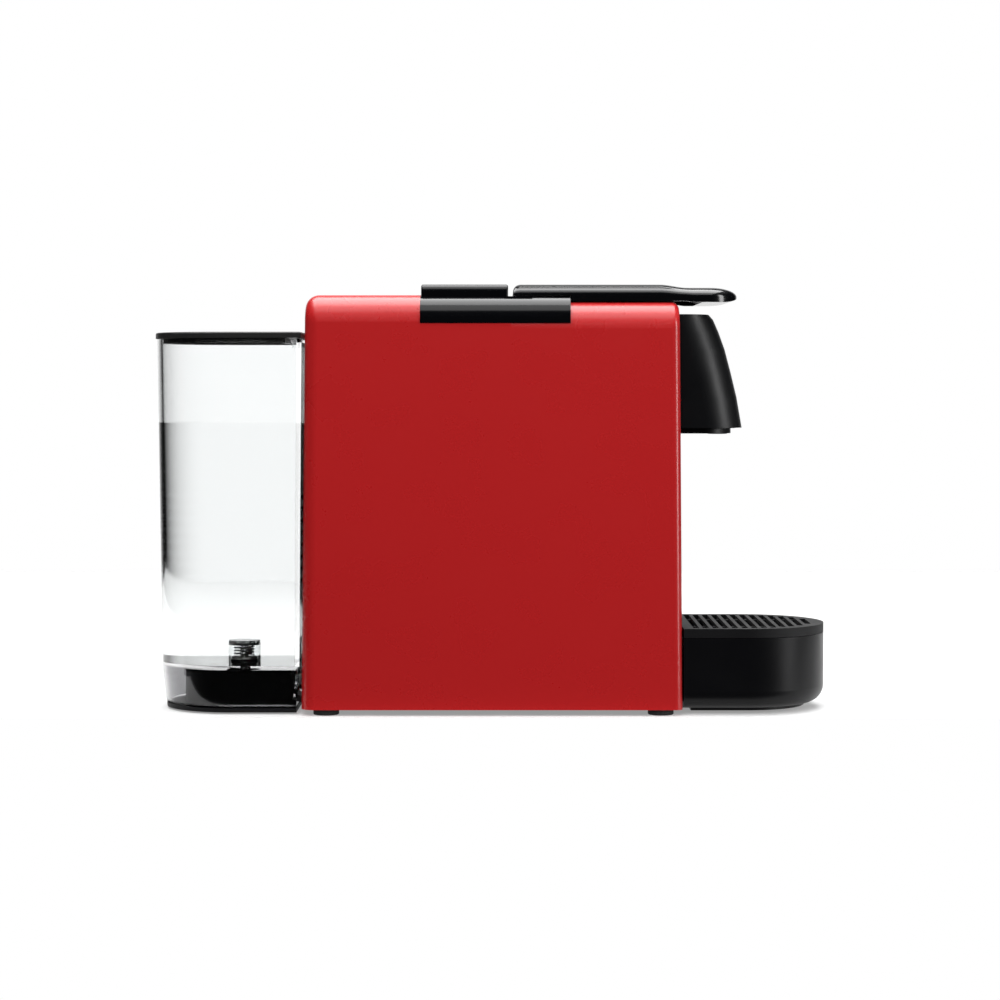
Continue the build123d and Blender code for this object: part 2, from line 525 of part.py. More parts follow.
# ---------------------------------------------------------------- drip tray, grid and used capsules
TRAY_REAR_X = 93.1
TRAY_WALL = 2.2
BASIN_SLOPE_TOP = 10.8                  # the basin narrows below this height
SLIDE_HALF = 33.8                       # half width of the part that runs inside the casing
with BuildPart() as drip_tray:
    with BuildSketch(Plane.XY.offset(TRAY_Z[0])):
        d_outline(TRAY_REAR_X, TRAY_CENTRE, TRAY_RADIUS)
    extrude(amount=TRAY_Z[1] - TRAY_Z[0])
    fillet(drip_tray.edges().group_by(Axis.Z)[0].sort_by(Axis.X)[-1], 8.5)
    with BuildSketch(Plane.XY.offset(1.5)):
        d_outline(TRAY_REAR_X + 4, TRAY_CENTRE, TRAY_RADIUS - 9.5)
    extrude(amount=2.4)
    with BuildSketch(Plane.XY.offset(BASIN_SLOPE_TOP)) as basin:
        d_outline(TRAY_REAR_X + TRAY_WALL, TRAY_CENTRE, TRAY_RADIUS - TRAY_WALL)
    extrude(basin.sketch, amount=40, mode=Mode.SUBTRACT)
    extrude(basin.sketch, amount=TRAY_Z[0] + TRAY_WALL - BASIN_SLOPE_TOP, taper=45, mode=Mode.SUBTRACT)
    slab((CONTAINER_X[0] - 3.0, TRAY_REAR_X + 1), (-SLIDE_HALF, SLIDE_HALF), (6.4, 17.0))
    slab((CONTAINER_X[0] - 1.2, TRAY_REAR_X + 4), (1.8 - SLIDE_HALF, SLIDE_HALF - 1.8), (8.2, 20.0), mode=Mode.SUBTRACT)
    for y in (-18.0, 0.0, 18.0):
        slab((CONTAINER_X[0], CONTAINER_X[1] - 1), (y - 0.9, y + 0.9), (8.1, CONTAINER_Z[0]))
finish(drip_tray.part, "drip_tray")

with BuildPart() as drip_grid:
    with BuildSketch(Plane.XY.offset(TRAY_Z[1] + 0.2)):
        d_outline(TRAY_REAR_X, TRAY_CENTRE, TRAY_RADIUS)
    extrude(amount=GRID_TOP - TRAY_Z[1] - 0.2)
    with BuildSketch(Plane.XY.offset(TRAY_Z[1])):
        d_outline(TRAY_REAR_X + 2.4, TRAY_CENTRE, TRAY_RADIUS - 2.4)
    extrude(amount=2.4, mode=Mode.SUBTRACT)
    with BuildSketch(Plane.XY.offset(TRAY_Z[1] - 1.6)) as locating_rim:
        d_outline(TRAY_REAR_X + TRAY_WALL + 0.3, TRAY_CENTRE, TRAY_RADIUS - TRAY_WALL - 0.3)
    extrude(amount=3.2)
    with BuildSketch(Plane.XY.offset(TRAY_Z[1] - 2)):
        d_outline(TRAY_REAR_X + TRAY_WALL + 1.7, TRAY_CENTRE, TRAY_RADIUS - TRAY_WALL - 1.7)
    extrude(amount=4.4, mode=Mode.SUBTRACT)
    slot_pitch, slot_width = 4.7, 2.9
    for number in range(13):
        x = 99.4 + slot_pitch * number
        half = 35.0 if x < TRAY_CENTRE else math.sqrt(35.0**2 - (x + slot_width / 2 - TRAY_CENTRE)**2)
        slab((x - slot_width / 2, x + slot_width / 2), (-half, half), (35, 45), mode=Mode.SUBTRACT)
    for y in (-18.0, 18.0):
        slab((TRAY_REAR_X + 3, 156.0), (y - 0.8, y + 0.8), (TRAY_Z[1] + 1.4, GRID_TOP - 0.9))
finish(drip_grid.part, "drip_grid")

with BuildPart() as capsule_container:
    slab(CONTAINER_X, (-CONTAINER_HALF, CONTAINER_HALF), CONTAINER_Z, corner=2.5)
    slab(
        (CONTAINER_X[0] + 1.8, CONTAINER_X[1] - 2.0), (1.8 - CONTAINER_HALF, CONTAINER_HALF - 1.8),
        (CONTAINER_Z[0] + 2.0, CONTAINER_Z[1] + 5), corner=1.5, mode=Mode.SUBTRACT,
    )
finish(capsule_container.part, "capsule_container")

# ---------------------------------------------------------------- water tank on its pedestal
def tank_plan(inset, front_inset=None):
    """Outline of the tank at its top edge, moved inwards."""
    front = TANK_FRONT_X - (inset if front_inset is None else front_inset)
    d_outline(front, TANK_REAR_X + TANK_HALF, TANK_HALF - inset)


SKIRT_TOP, SKIRT_BOTTOM = 18.0, 4.0
SKIRT_WALL, SKIRT_TAPER = 2.0, 7.0
SKIRT_INSET = (TANK_TOP - SKIRT_TOP) * math.tan(math.radians(TANK_DRAFT))
LUG_Y = 12.0
with BuildPart() as water_tank:
    with BuildSketch(Plane.XY.offset(TANK_TOP)):
        tank_plan(0)
    extrude(amount=SKIRT_TOP - TANK_TOP, taper=TANK_DRAFT)
    with BuildSketch(Plane.XY.offset(SKIRT_TOP)):
        tank_plan(SKIRT_INSET)
    extrude(amount=SKIRT_BOTTOM - SKIRT_TOP, taper=SKIRT_TAPER)
    with BuildSketch(Plane.XY.offset(TANK_TOP)):
        tank_plan(TANK_WALL)
    extrude(amount=TANK_FLOOR[1] - TANK_TOP, taper=TANK_DRAFT, mode=Mode.SUBTRACT)
    with BuildSketch(Plane.XY.offset(SKIRT_TOP)):
        tank_plan(SKIRT_INSET + SKIRT_WALL)
    extrude(amount=TANK_FLOOR[0] - SKIRT_TOP, mode=Mode.SUBTRACT)
    with BuildSketch(Plane.XY.offset(SKIRT_TOP)):
        tank_plan(SKIRT_INSET + SKIRT_WALL)
    extrude(amount=SKIRT_BOTTOM - SKIRT_TOP, taper=SKIRT_TAPER, mode=Mode.SUBTRACT)
    slab((-104, -80), (-10.5, 10.5), (0, TANK_FLOOR[0]), mode=Mode.SUBTRACT)
    rod((VALVE_X, 0, TANK_FLOOR[1] - 0.1), (0, 0, 1), 8.0, 9.0)
    rod((VALVE_X, 0, TANK_FLOOR[1]), (0, 0, 1), 6.5, 12.0, mode=Mode.SUBTRACT)
    rod((VALVE_X, 0, TANK_FLOOR[0] - 1), (0, 0, 1), 3.2, 8.0, mode=Mode.SUBTRACT)
    slab((-95.2, -85), (-40, 40), (179.3, 190), mode=Mode.SUBTRACT)
    for side in (-1, 1):
        slab((-96.4, -91.6), (side * LUG_Y - 2, side * LUG_Y + 2), (177.0, LID_AXIS[1]))
        rod((LID_AXIS[0], side * LUG_Y - 2, LID_AXIS[1]), (0, 1, 0), 1.5, 4)
    rod((LID_AXIS[0], -15, LID_AXIS[1]), (0, 1, 0), 1.08, 30, mode=Mode.SUBTRACT)
finish(water_tank.part, "water_tank")

with BuildPart() as tank_lid:
    with BuildSketch(Plane.XY.offset(LID_Z[0])):
        tank_plan(-0.7, front_inset=0.3)
    extrude(amount=LID_Z[1] - LID_Z[0])
    fillet(tank_lid.edges().group_by(Axis.Z)[-1], 0.9)
    with BuildSketch(Plane.XY.offset(LID_Z[0] - 2.4)):
        tank_plan(TANK_WALL + 0.5, front_inset=8.0)
    extrude(amount=2.5)
    with BuildSketch(Plane.XY.offset(LID_Z[0] - 2.5)):
        tank_plan(TANK_WALL + 2.1, front_inset=9.6)
    extrude(amount=2.5, mode=Mode.SUBTRACT)
    for side in (-1, 1):
        y = side * LUG_Y
        slab((-96.9, -80), (y - 2.4, y + 2.4), (175, 190), mode=Mode.SUBTRACT)
    rod((LID_AXIS[0], -9.3, LID_AXIS[1]), (0, 1, 0), 1.5, 18.6)
    rod((LID_AXIS[0], -9.8, LID_AXIS[1]), (0, 1, 0), 1.0, 19.6, mode=Mode.SUBTRACT)
    slab((-94.9, -93.5), (-7, 7), (177.2, LID_AXIS[1] - 1.2))
finish(tank_lid.part, "tank_lid")

with BuildPart() as tank_lid_pin:
    rod((LID_AXIS[0], -14.2, LID_AXIS[1]), (0, 1, 0), 1.0, 28.4)
finish(tank_lid_pin.part, "tank_lid_pin")

STEM_BOTTOM = TANK_FLOOR[0] - 0.1
with BuildPart() as tank_valve:
    rod((VALVE_X, 0, STEM_BOTTOM), (0, 0, 1), 1.5, 10.0)
    rod((VALVE_X, 0, TANK_FLOOR[1] + 0.9), (0, 0, 1), 4.6, 1.6)
    slab((VALVE_X - 2.8, VALVE_X + 2.8), (-0.4, 0.4), (STEM_BOTTOM + 0.5, TANK_FLOOR[1] + 1.0))
    slab((VALVE_X - 0.4, VALVE_X + 0.4), (-2.8, 2.8), (STEM_BOTTOM + 0.5, TANK_FLOOR[1] + 1.0))
finish(tank_valve.part, "tank_valve")

with BuildPart() as tank_valve_seal:
    rod((VALVE_X, 0, TANK_FLOOR[1] + 0.1), (0, 0, 1), 5.0, 0.8, bore=3.4)
finish(tank_valve_seal.part, "tank_valve_seal")

with BuildPart() as tank_valve_spring:
    coil((VALVE_X, 0, TANK_FLOOR[1] + 2.6), 3.4, 5.2, 3)
finish(tank_valve_spring.part, "tank_valve_spring")

with BuildPart() as tank_filter:
    rod((VALVE_X, 0, TANK_FLOOR[1] + 8.9), (0, 0, 1), 7.6, 1.2)
    rod((VALVE_X, 0, TANK_FLOOR[1] + 7.9), (0, 0, 1), 6.3, 1.1, bore=4.6)
    with BuildSketch(Plane.XY.offset(TANK_FLOOR[1] + 12)):
        with Locations((VALVE_X, 0)):
            with PolarLocations(4.9, 8):
                Circle(0.9)
    extrude(amount=-8, mode=Mode.SUBTRACT)
    rod((VALVE_X, 0, TANK_FLOOR[1]), (0, 0, 1), 1.9, 12, mode=Mode.SUBTRACT)
finish(tank_filter.part, "tank_filter")

PEDESTAL_REAR_X, PEDESTAL_FRONT_X, PEDESTAL_RADIUS = -151.0, -96.0, 27.0
PEDESTAL_Z = (2.95, 20.6)
CHANNEL_Z = 12.5                        # axis of the water channel to the hose
with BuildPart() as tank_pedestal:
    round_x = PEDESTAL_REAR_X + PEDESTAL_RADIUS
    with BuildSketch(Plane.XY.offset(PEDESTAL_Z[0])):
        d_outline(PEDESTAL_FRONT_X, round_x, PEDESTAL_RADIUS)
    extrude(amount=PEDESTAL_Z[1] - PEDESTAL_Z[0])
    fillet(tank_pedestal.edges().group_by(Axis.Z)[-1], 1.5)
    with BuildSketch(Plane.XY.offset(PEDESTAL_Z[0] - 1)):
        d_outline(PEDESTAL_FRONT_X + 1, round_x, PEDESTAL_RADIUS - 2)
    extrude(amount=PEDESTAL_Z[1] - PEDESTAL_Z[0] - 1.2, mode=Mode.SUBTRACT)
    rod((VALVE_X, 0, 8.0), (0, 0, 1), 8.5, 12.0)
    rod((VALVE_X, 0, 19.0), (0, 0, 1), 6.5, 2.1)
    rod((VALVE_X, 0, 12.0), (0, 0, 1), 4.6, 10.0, mode=Mode.SUBTRACT)
    rod((VALVE_X, 0, 11.9), (0, 0, 1), 1.2, 9.0)
    rod((VALVE_X + 6, 0, CHANNEL_Z), (1, 0, 0), 3.0, 13.0)
    rod((VALVE_X + 18, 0, CHANNEL_Z), (1, 0, 0), 2.2, 11.0)
    rod((VALVE_X + 3, 0, CHANNEL_Z), (1, 0, 0), 1.1, 40.0, mode=Mode.SUBTRACT)
finish(tank_pedestal.part, "tank_pedestal")

with BuildPart() as pedestal_base:
    with BuildSketch(Plane.XY.offset(0.9)):
        tank_plan(3.9, front_inset=3.4)
    extrude(amount=2.0)
    with BuildSketch(Plane.XY.offset(2.8)):
        d_outline(PEDESTAL_FRONT_X - 4, round_x, PEDESTAL_RADIUS - 2.4)
    extrude(amount=2.4)
    slab((-112, -80), (-10.0, 10.0), (2.9, 7), mode=Mode.SUBTRACT)
    rod((TANK_FOOT_X, 0, 0.8), (0, 0, 1), 3.1, 5, mode=Mode.SUBTRACT)
finish(pedestal_base.part, "pedestal_base")

with BuildPart() as socket_seal:
    rod((VALVE_X, 0, PEDESTAL_Z[1] + 0.02), (0, 0, 1), 8.2, 0.75, bore=6.55)
finish(socket_seal.part, "socket_seal")

# ---------------------------------------------------------------- pump
PUMP_BOTTOM, PUMP_TOP = 36.0, 132.0
COIL_Z = (62.0, 98.0)
PISTON_RADIUS = 5.4
with BuildPart() as pump_body:
    rod((PUMP_X, PUMP_Y, 46.0), (0, 0, 1), 7.8, 74.0)
    rod((PUMP_X, PUMP_Y, 46.0), (0, 0, 1), 11.5, 6.0)
    rod((PUMP_X, PUMP_Y, 112.0), (0, 0, 1), 10.5, 10.0)
    rod((PUMP_X, PUMP_Y, PUMP_BOTTOM), (0, 0, 1), 2.2, 11.0)
    rod((PUMP_X, PUMP_Y, 121.0), (0, 0, 1), 2.2, PUMP_TOP - 121.0)
    rod((PUMP_X, PUMP_Y, PUMP_BOTTOM - 1), (0, 0, 1), 1.1, PUMP_TOP - PUMP_BOTTOM + 2, mode=Mode.SUBTRACT)
    rod((PUMP_X, PUMP_Y, 56.0), (0, 0, 1), PISTON_RADIUS + 0.15, 54.0, mode=Mode.SUBTRACT)
finish(pump_body.part, "pump_body")

with BuildPart() as pump_coil:
    rod((PUMP_X, PUMP_Y, COIL_Z[0]), (0, 0, 1), 17.0, COIL_Z[1] - COIL_Z[0], bore=8.2)
    for level in (COIL_Z[0] + 2.0, COIL_Z[1] - 4.0):
        rod((PUMP_X, PUMP_Y, level), (0, 0, 1), 18.0, 2.0, bore=16.0)
    for y in (-4.0, 4.0):
        slab((PUMP_X + 17.0, PUMP_X + 23.0), (PUMP_Y + y - 2, PUMP_Y + y + 2), (COIL_Z[0] + 8, COIL_Z[0] + 9))
finish(pump_coil.part, "pump_coil")

with BuildPart() as pump_yoke:
    for level in (COIL_Z[0] - 2.4, COIL_Z[1]):
        slab((PUMP_X - 19, PUMP_X + 16), (PUMP_Y - 19, PUMP_Y + 19), (level + 0.05, level + 2.35), corner=2)
        rod((PUMP_X, PUMP_Y, level - 1), (0, 0, 1), 8.0, 5, mode=Mode.SUBTRACT)
    for side in (-1, 1):
        edge = PUMP_Y + side * 19.0
        slab((PUMP_X - 12, PUMP_X + 12), tuple(sorted((edge, edge - side * 0.9))), (COIL_Z[0] - 2, COIL_Z[1] + 2))
finish(pump_yoke.part, "pump_yoke")

with BuildPart() as pump_piston:
    rod((PUMP_X, PUMP_Y, 66.0), (0, 0, 1), PISTON_RADIUS, 24.0)
    rod((PUMP_X, PUMP_Y, 90.0), (0, 0, 1), 2.0, 8.0)
    rod((PUMP_X, PUMP_Y, 60), (0, 0, 1), 1.0, 40, mode=Mode.SUBTRACT)
finish(pump_piston.part, "pump_piston")

with BuildPart() as pump_spring:
    coil((PUMP_X, PUMP_Y, 90.0), 3.8, 19.6, 8)
finish(pump_spring.part, "pump_spring")

with BuildPart() as pump_rebound_spring:
    coil((PUMP_X, PUMP_Y, 56.3), 3.8, 9.4, 4)
finish(pump_rebound_spring.part, "pump_rebound_spring")

with BuildPart() as pump_mounts:
    rod((PUMP_X, PUMP_Y, 52.0), (0, 0, 1), 13.0, 5.0, bore=7.8)
    rod((PUMP_X, PUMP_Y, 104.0), (0, 0, 1), 13.0, 5.0, bore=7.8)
finish(pump_mounts.part, "pump_mounts")

with BuildPart() as pump_bracket:
    slab((-79.0, -76.6), (-30.0, 18.0), (6.1, 112.0))
    for level in (50.0, 104.5):
        slab((-76.7, PUMP_X), (PUMP_Y - 15.5, PUMP_Y + 15.5), (level, level + 1.9))
        rod((PUMP_X, PUMP_Y, level - 1), (0, 0, 1), 13.1, 4, mode=Mode.SUBTRACT)
    slab((-76.7, -60.0), (-30.0, 18.0), (6.1, 8.0))
    slab((-80.0, -76.0), (-24.0, 6.0), (8.1, 22.0), mode=Mode.SUBTRACT)
finish(pump_bracket.part, "pump_bracket")

# ---------------------------------------------------------------- water heater
with BuildPart() as thermoblock:
    slab(BLOCK_HEATER_X, (-25.0, 25.0), BLOCK_HEATER_Z, corner=4)
    for number in range(9):
        z = BLOCK_HEATER_Z[0] + 4 + number * 6.0
        slab((BLOCK_HEATER_X[0] - 1, BLOCK_HEATER_X[0] + 3), (-30, 30), (z, z + 3.0), mode=Mode.SUBTRACT)
    rod((-8.0, -14.0, 117.1), (0, 0, -1), 3.0, 12, mode=Mode.SUBTRACT)
    rod((-8.0, 0.0, 117.1), (0, 0, -1), 3.0, 12, mode=Mode.SUBTRACT)
finish(thermoblock.part, "thermoblock")

with BuildPart() as hose_fittings:
    for y in (-14.0, 0.0):
        rod((-8.0, y, 105.2), (0, 0, 1), 2.95, 12.8, bore=1.1)
        rod((-8.0, y, 116.1), (0, 0, 1), 4.6, 2.0, bore=1.1)
        rod((-8.0, y, 118.0), (0, 0, 1), 2.2, 8.0, bore=1.1)
    rod((18.6, 0, BREW_Z), (1, 0, 0), 5.9, 5.2, bore=1.1)
    rod((8.0, 0, BREW_Z), (1, 0, 0), 2.2, 10.7, bore=1.1)
finish(hose_fittings.part, "hose_fittings")

with BuildPart() as thermoblock_stand:
    pair((BLOCK_HEATER_X[0] + 2, BLOCK_HEATER_X[1] - 2), (16.0, 22.0), (6.1, BLOCK_HEATER_Z[0] - 0.05))
    slab((BLOCK_HEATER_X[0] + 2, BLOCK_HEATER_X[1] - 2), (-16.1, 16.1), (56.0, BLOCK_HEATER_Z[0] - 0.05))
    slab((BLOCK_HEATER_X[0] + 8, BLOCK_HEATER_X[1] - 8), (-30, 30), (20.0, 50.0), mode=Mode.SUBTRACT)
finish(thermoblock_stand.part, "thermoblock_stand")

with BuildPart() as thermal_cutouts:
    for y, radius in ((13.0, 6.0), (-19.0, 3.6)):
        rod((BLOCK_HEATER_X[1] - 1.9 + 2.0, y, 88.0), (1, 0, 0), radius, 3.0)
finish(thermal_cutouts.part, "thermal_cutouts")

# ---------------------------------------------------------------- flow meter
PORT_Z = 26.0
INLET_Y, OUTLET_X = METER_Y - 8.0, METER_X - 8.0
with BuildPart() as flow_meter_body:
    rod((METER_X, METER_Y, 20.0), (0, 0, 1), 12.5, 12.0)
    rod((METER_X, METER_Y, 6.1), (0, 0, 1), 4.0, 14.0)
    rod((METER_X - 20.0, INLET_Y, PORT_Z), (1, 0, 0), 2.2, 15.0)
    rod((OUTLET_X, METER_Y + 4.0, PORT_Z), (0, 1, 0), 2.2, 15.0)
    rod((METER_X, METER_Y, 22.0), (0, 0, 1), 10.4, 11.0, mode=Mode.SUBTRACT)
    rod((METER_X, METER_Y, 21.9), (0, 0, 1), 0.8, 7.6)
    rod((METER_X - 21.0, INLET_Y, PORT_Z), (1, 0, 0), 1.1, 17.0, mode=Mode.SUBTRACT)
    rod((OUTLET_X, METER_Y + 4.0, PORT_Z), (0, 1, 0), 1.1, 16.0, mode=Mode.SUBTRACT)
finish(flow_meter_body.part, "flow_meter_body")

with BuildPart() as flow_meter_cover:
    rod((METER_X, METER_Y, 32.05), (0, 0, 1), 12.5, 1.8)
    slab((METER_X - 4, METER_X + 4), (METER_Y - 3, METER_Y + 3), (33.8, 37.0))
finish(flow_meter_cover.part, "flow_meter_cover")

with BuildPart() as flow_impeller:
    rod((METER_X, METER_Y, 23.0), (0, 0, 1), 2.2, 6.0)
    with Locations((METER_X, METER_Y, 26.0)):
        with PolarLocations(5.2, 6):
            Box(7.0, 0.9, 5.0)
    rod((METER_X, METER_Y, 22), (0, 0, 1), 0.9, 9, mode=Mode.SUBTRACT)
finish(flow_impeller.part, "flow_impeller")

# ---------------------------------------------------------------- hoses and clips
SOFT_HOSE = (3.4, 2.25)                 # outside and bore radius
PRESSURE_HOSE = (3.2, 2.25)
with BuildPart() as water_hoses:
    hose(
        [(-100.0, 0, CHANNEL_Z), (-88.0, 0, CHANNEL_Z), (-72.0, -18.0, 15.0), (-66.0, INLET_Y, PORT_Z),
         (METER_X - 13.5, INLET_Y, PORT_Z)],
        *SOFT_HOSE, 3.6,
    )
    hose(
        [(OUTLET_X, METER_Y + 13.0, PORT_Z), (OUTLET_X, METER_Y + 25.0, PORT_Z), (PUMP_X - 1, METER_Y + 25.0, 22.0),
         (PUMP_X, PUMP_Y, 22.0), (PUMP_X, PUMP_Y, 44.0)],
        *SOFT_HOSE, 4.0,
    )
finish(water_hoses.part, "water_hoses")

with BuildPart() as pressure_hoses:
    hose(
        [(PUMP_X, PUMP_Y, 124.0), (PUMP_X, PUMP_Y, 150.0), (-34.0, -12.0, 158.0), (-8.0, -14.0, 148.0),
         (-8.0, -14.0, 119.0)],
        *PRESSURE_HOSE, 10.0,
    )
    hose([(-8.0, 0, 119.0), (-8.0, 0, BREW_Z), (16.0, 0, BREW_Z)], *PRESSURE_HOSE, 12.0)
finish(pressure_hoses.part, "pressure_hoses")

with BuildPart() as hose_clips:
    for place, along in (
        ((-94.5, 0, CHANNEL_Z), (1, 0, 0)), ((PUMP_X, PUMP_Y, 38.0), (0, 0, 1)), ((PUMP_X, PUMP_Y, 126.0), (0, 0, 1)),
        ((-8.0, -14.0, 121.0), (0, 0, 1)), ((-8.0, 0, 121.0), (0, 0, 1)), ((9.0, 0, BREW_Z), (1, 0, 0)),
    ):
        rod(place, along, 4.4, 3.0, bore=SOFT_HOSE[0] + 0.02)
finish(hose_clips.part, "hose_clips")

# ---------------------------------------------------------------- electronics
with BuildPart() as power_board:
    slab((-74.0, -6.0), BOARD_Y, (26.0, 108.0))
    slab((-68.0, -52.0), (19.0, 33.1), (32.0, 46.0))
    slab((-48.0, -34.0), (24.0, 33.1), (30.0, 42.0))
    slab((-28.0, -12.0), (27.5, 33.1), (32.0, 40.0))
    for x, radius in ((-66.0, 5.0), (-50.0, 5.0), (-38.0, 4.0)):
        rod((x, 33.1, 60.0), (0, -1, 0), radius, 12.0)
    slab((-70.0, -44.0), (30.5, 33.1), (80.0, 98.0))
    slab((-36.0, -30.0), (25.0, 33.1), (84.0, 100.0))
    for x, z in BOARD_SCREWS:
        rod((x, 30, z), (0, 1, 0), 1.5, 8, mode=Mode.SUBTRACT)
finish(power_board.part, "power_board")

with BuildPart() as lever_switch:
    slab((-24.0, -10.0), (24.0, 30.0), (178.0, 186.0))
    side_plate([(-22.0, 186.0), (-9.0, 189.4), (-9.0, 190.0), (-22.0, 186.8)], (25.0, 29.0))
    for x in (-22.0, -17.0, -12.0):
        slab((x - 0.4, x + 0.4), (25.6, 28.4), (173.0, 178.1))
finish(lever_switch.part, "lever_switch")
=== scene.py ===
"""Compact capsule espresso machine: looks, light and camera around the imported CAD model."""
import json
import math

import bmesh
import bpy
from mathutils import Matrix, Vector


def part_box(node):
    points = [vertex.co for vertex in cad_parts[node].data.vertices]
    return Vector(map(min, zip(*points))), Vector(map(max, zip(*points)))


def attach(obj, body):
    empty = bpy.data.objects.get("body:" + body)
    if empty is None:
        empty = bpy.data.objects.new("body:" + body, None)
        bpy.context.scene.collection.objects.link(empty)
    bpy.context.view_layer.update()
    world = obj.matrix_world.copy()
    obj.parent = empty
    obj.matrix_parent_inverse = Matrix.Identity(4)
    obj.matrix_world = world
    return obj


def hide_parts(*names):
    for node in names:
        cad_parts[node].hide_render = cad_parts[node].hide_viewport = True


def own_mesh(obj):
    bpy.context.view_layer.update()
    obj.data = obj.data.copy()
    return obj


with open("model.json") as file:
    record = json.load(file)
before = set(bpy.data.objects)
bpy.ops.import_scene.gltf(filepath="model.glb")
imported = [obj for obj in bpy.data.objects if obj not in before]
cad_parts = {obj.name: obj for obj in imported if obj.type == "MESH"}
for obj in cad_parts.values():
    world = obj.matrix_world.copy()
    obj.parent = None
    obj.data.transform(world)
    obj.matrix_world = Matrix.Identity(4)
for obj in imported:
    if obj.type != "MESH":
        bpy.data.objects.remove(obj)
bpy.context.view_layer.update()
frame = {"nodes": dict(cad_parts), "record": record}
NODES = frame["nodes"]
SLOT_OF = {part["node"]: part["material_slot"] for part in frame["record"]["subparts"]}
MM = 0.001


# ---------------------------------------------------------------- materials
class Graph:
    """Small helper around one material's node tree."""

    def __init__(self, name):
        self.material = bpy.data.materials.new(name)
        self.material.use_nodes = True
        self.nodes = self.material.node_tree.nodes
        self.links = self.material.node_tree.links
        self.shader = self.nodes["Principled BSDF"]
        self.place = self.nodes.new("ShaderNodeTexCoord").outputs["Object"]

    def add(self, kind, inputs=None, **settings):
        node = self.nodes.new(kind)
        for key, value in settings.items():
            setattr(node, key, value)
        for key, value in (inputs or {}).items():
            if isinstance(value, bpy.types.NodeSocket):
                self.links.new(value, node.inputs[key])
            else:
                node.inputs[key].default_value = value
        return node

    def noise(self, scale, detail=3.0, stretch=None):
        """Noise of so many cells a metre, stretched along an axis if asked."""
        place = self.place
        if stretch:
            place = self.add("ShaderNodeMapping", {"Vector": place, "Scale": stretch}).outputs[0]
        node = self.add("ShaderNodeTexNoise", {"Vector": place, "Scale": scale, "Detail": detail})
        return node.outputs["Fac"]

    def spread(self, value, low, high):
        """A value around 0.5 taken to the range low to high."""
        node = self.add("ShaderNodeMapRange", {"Value": value, "From Min": 0.3, "From Max": 0.7})
        node.inputs["To Min"].default_value = low
        node.inputs["To Max"].default_value = high
        return node.outputs["Result"]

    def bump(self, height, distance, strength=1.0, under=None):
        inputs = {"Height": height, "Distance": distance, "Strength": strength}
        if under is not None:
            inputs["Normal"] = under
        return self.add("ShaderNodeBump", inputs).outputs["Normal"]

    def colour(self, dark, light, factor):
        """Colour between two by a factor."""
        mix = self.add("ShaderNodeMix", data_type="RGBA")
        self.links.new(factor, mix.inputs["Factor"])
        sockets = [s for s in mix.inputs if s.type == "RGBA"]
        sockets[0].default_value, sockets[1].default_value = (*dark, 1), (*light, 1)
        return [s for s in mix.outputs if s.type == "RGBA"][0]

    def wire(self, **sockets):
        for name, value in sockets.items():
            key = name.replace("_", " ")
            if isinstance(value, bpy.types.NodeSocket):
                self.links.new(value, self.shader.inputs[key])
            else:
                self.shader.inputs[key].default_value = value
        return self.material


def shade(colour, factor):
    return tuple(min(1.0, channel * factor) for channel in colour)


def gloss_plastic(name, colour, rough=0.18, peel=0.000012, variation=0.04, shine=0.5):
    """Polished moulded plastic with a faint orange peel and slight handling marks."""
    g = Graph(name)
    cloud = g.noise(9.0, 4.0)
    marks = g.noise(60.0, 6.0)
    waves = g.bump(g.noise(230.0, 2.0), peel)
    return g.wire(
        Base_Color=g.colour(shade(colour, 1 - variation), shade(colour, 1 + variation), cloud),
        Roughness=g.spread(marks, rough * 0.93, rough * 1.08), Normal=waves,
        Specular_IOR_Level=shine, IOR=1.5,
    )


def satin_plastic(name, colour, rough=0.45, grain=0.00003, variation=0.1, cells=2600.0, shine=0.5):
    """Moulded plastic with the fine eroded grain of a spark-finished tool."""
    g = Graph(name)
    cloud = g.noise(14.0, 4.0)
    fine = g.bump(g.noise(cells, 2.0), grain)
    return g.wire(
        Base_Color=g.colour(shade(colour, 1 - variation), shade(colour, 1 + variation), cloud),
        Roughness=g.spread(g.noise(45.0, 5.0), rough * 0.9, rough * 1.12), Normal=fine,
        Specular_IOR_Level=shine, IOR=1.5,
    )


def rubber(name, colour, rough=0.75):
    g = Graph(name)
    speck = g.noise(900.0, 5.0)
    return g.wire(
        Base_Color=g.colour(shade(colour, 0.8), shade(colour, 1.3), g.noise(40.0, 5.0)),
        Roughness=g.spread(speck, rough * 0.9, rough * 1.1), Normal=g.bump(speck, 0.00005), IOR=1.45,
    )


def brushed_metal(name, colour, rough=0.3, stretch=(1.0, 40.0, 1.0)):
    g = Graph(name)
    lines = g.noise(700.0, 4.0, stretch)
    return g.wire(
        Base_Color=g.colour(shade(colour, 0.9), shade(colour, 1.08), lines),
        Metallic=1.0, Roughness=g.spread(lines, rough * 0.8, rough * 1.25), Normal=g.bump(lines, 0.00002),
    )


def cast_metal(name, colour, rough=0.45):
    g = Graph(name)
    sand = g.noise(1500.0, 6.0)
    return g.wire(
        Base_Color=g.colour(shade(colour, 0.85), shade(colour, 1.1), g.noise(80.0, 5.0)),
        Metallic=1.0, Roughness=g.spread(sand, rough * 0.85, rough * 1.2), Normal=g.bump(sand, 0.00006),
    )


